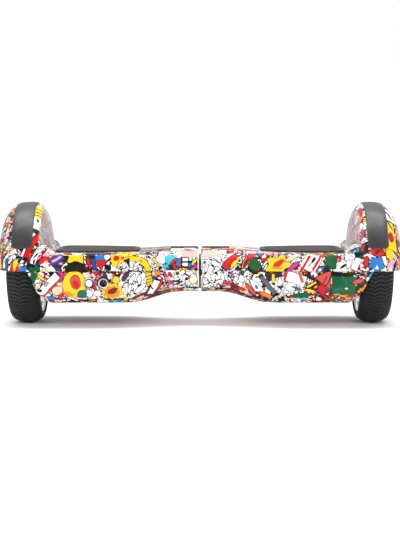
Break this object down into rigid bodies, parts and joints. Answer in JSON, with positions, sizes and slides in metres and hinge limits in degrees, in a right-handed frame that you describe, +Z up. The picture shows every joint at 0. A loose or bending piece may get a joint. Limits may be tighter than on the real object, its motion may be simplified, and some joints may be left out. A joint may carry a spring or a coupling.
{
  "type": "self balancing hoverboard",
  "caption": "Self balancing board with printed plastic shells, hub-motor wheels under rounded fenders, rubber foot pads and a twisting centre joint.",
  "frame": {"origin": "on the ground, midway between the wheels, under the centre joint", "axes": "+X along the wheel axis from the left half to the right half, -Y the front with the charging socket, +Z up"},
  "size_m": [0.583, 0.1816, 0.1767],
  "materials": {
    "printed_shell": "white glossy moulded plastic printed with a busy multi-colour sticker pattern",
    "bumper_rubber": "satin dark grey moulded rubber",
    "dark_window": "dark translucent glossy window",
    "cast_alloy": "sand-cast aluminium",
    "steel": "machined and zinc-plated steel",
    "cable_sleeve": "matt black sleeve",
    "circuit_board": "green solder mask with components",
    "enamelled_copper": "enamelled copper wire",
    "pad_rubber": "textured dark grey rubber mat",
    "tyre_rubber": "near-black solid rubber with moulded tread",
    "motor_cover": "silver-white painted die casting",
    "magnet_nickel": "nickel-plated magnets",
    "port_plastic": "black moulded plastic",
    "button_plastic": "white moulded plastic",
    "battery_wrap": "blue shrink wrap over steel-cased cells",
    "bronze": "sintered bronze"
  },
  "bodies": {
    "left_half": {"centre_tube": "steel", "charge_socket": "port_plastic", "charge_socket_ring": "steel", "cross_harness": "cable_sleeve", "left_axle": "steel", "left_axle_clamp": "cast_alloy", "left_fender_bumper": "bumper_rubber", "left_foot_sensor_board": "circuit_board", "left_frame": "cast_alloy", "left_indicator_panel": "dark_window", "left_lower_shell": "printed_shell", "left_motor_cable": "cable_sleeve", "left_shell_screw_1": "steel", "left_shell_screw_2": "steel", "left_shell_screw_3": "steel", "left_shell_screw_4": "steel", "left_stator_core": "steel", "left_stator_windings": "enamelled_copper", "left_upper_shell": "printed_shell", "main_board": "circuit_board", "neck_seal": "bumper_rubber", "power_button_bezel": "port_plastic", "tube_lock_collar": "steel", "tube_retaining_ring": "steel"},
    "right_half": {"battery_bracket": "steel", "battery_pack": "battery_wrap", "inner_tube_bush": "bronze", "outer_tube_bush": "bronze", "right_axle": "steel", "right_axle_clamp": "cast_alloy", "right_fender_bumper": "bumper_rubber", "right_foot_sensor_board": "circuit_board", "right_frame": "cast_alloy", "right_indicator_panel": "dark_window", "right_lower_shell": "printed_shell", "right_motor_cable": "cable_sleeve", "right_shell_screw_1": "steel", "right_shell_screw_2": "steel", "right_shell_screw_3": "steel", "right_shell_screw_4": "steel", "right_stator_core": "steel", "right_stator_windings": "enamelled_copper", "right_upper_shell": "printed_shell"},
    "left_wheel": {"left_inner_bearing": "steel", "left_magnet_ring": "magnet_nickel", "left_outer_bearing": "steel", "left_tyre": "tyre_rubber", "left_wheel_inner_cover": "motor_cover", "left_wheel_outer_cover": "motor_cover", "left_wheel_rim": "motor_cover"},
    "right_wheel": {"right_inner_bearing": "steel", "right_magnet_ring": "magnet_nickel", "right_outer_bearing": "steel", "right_tyre": "tyre_rubber", "right_wheel_inner_cover": "motor_cover", "right_wheel_outer_cover": "motor_cover", "right_wheel_rim": "motor_cover"},
    "left_pad": {"left_foot_pad": "pad_rubber"},
    "right_pad": {"right_foot_pad": "pad_rubber"},
    "power_button": {"power_button": "button_plastic"}
  },
  "joints": [
    {"name": "twist", "type": "hinge", "parent": "left_half", "child": "right_half", "pos_m": [0, 0, 0.0805], "axis": [1, 0, 0], "range_deg": [-12, 12]},
    {"name": "left_wheel_spin", "type": "hinge", "parent": "left_half", "child": "left_wheel", "pos_m": [-0.2515, 0, 0.084], "axis": [1, 0, 0], "continuous": true},
    {"name": "right_wheel_spin", "type": "hinge", "parent": "right_half", "child": "right_wheel", "pos_m": [0.2515, 0, 0.084], "axis": [1, 0, 0], "continuous": true},
    {"name": "left_pad_press", "type": "slide", "parent": "left_half", "child": "left_pad", "axis": [0, 0, -1], "range_m": [0, 0.0015], "stiffness_N_per_m": 4000},
    {"name": "right_pad_press", "type": "slide", "parent": "right_half", "child": "right_pad", "axis": [0, 0, -1], "range_m": [0, 0.0015], "stiffness_N_per_m": 4000},
    {"name": "power_button_press", "type": "slide", "parent": "left_half", "child": "power_button", "axis": [0, 1, 0], "range_m": [0, 0.0012], "stiffness_N_per_m": 400}
  ]
}
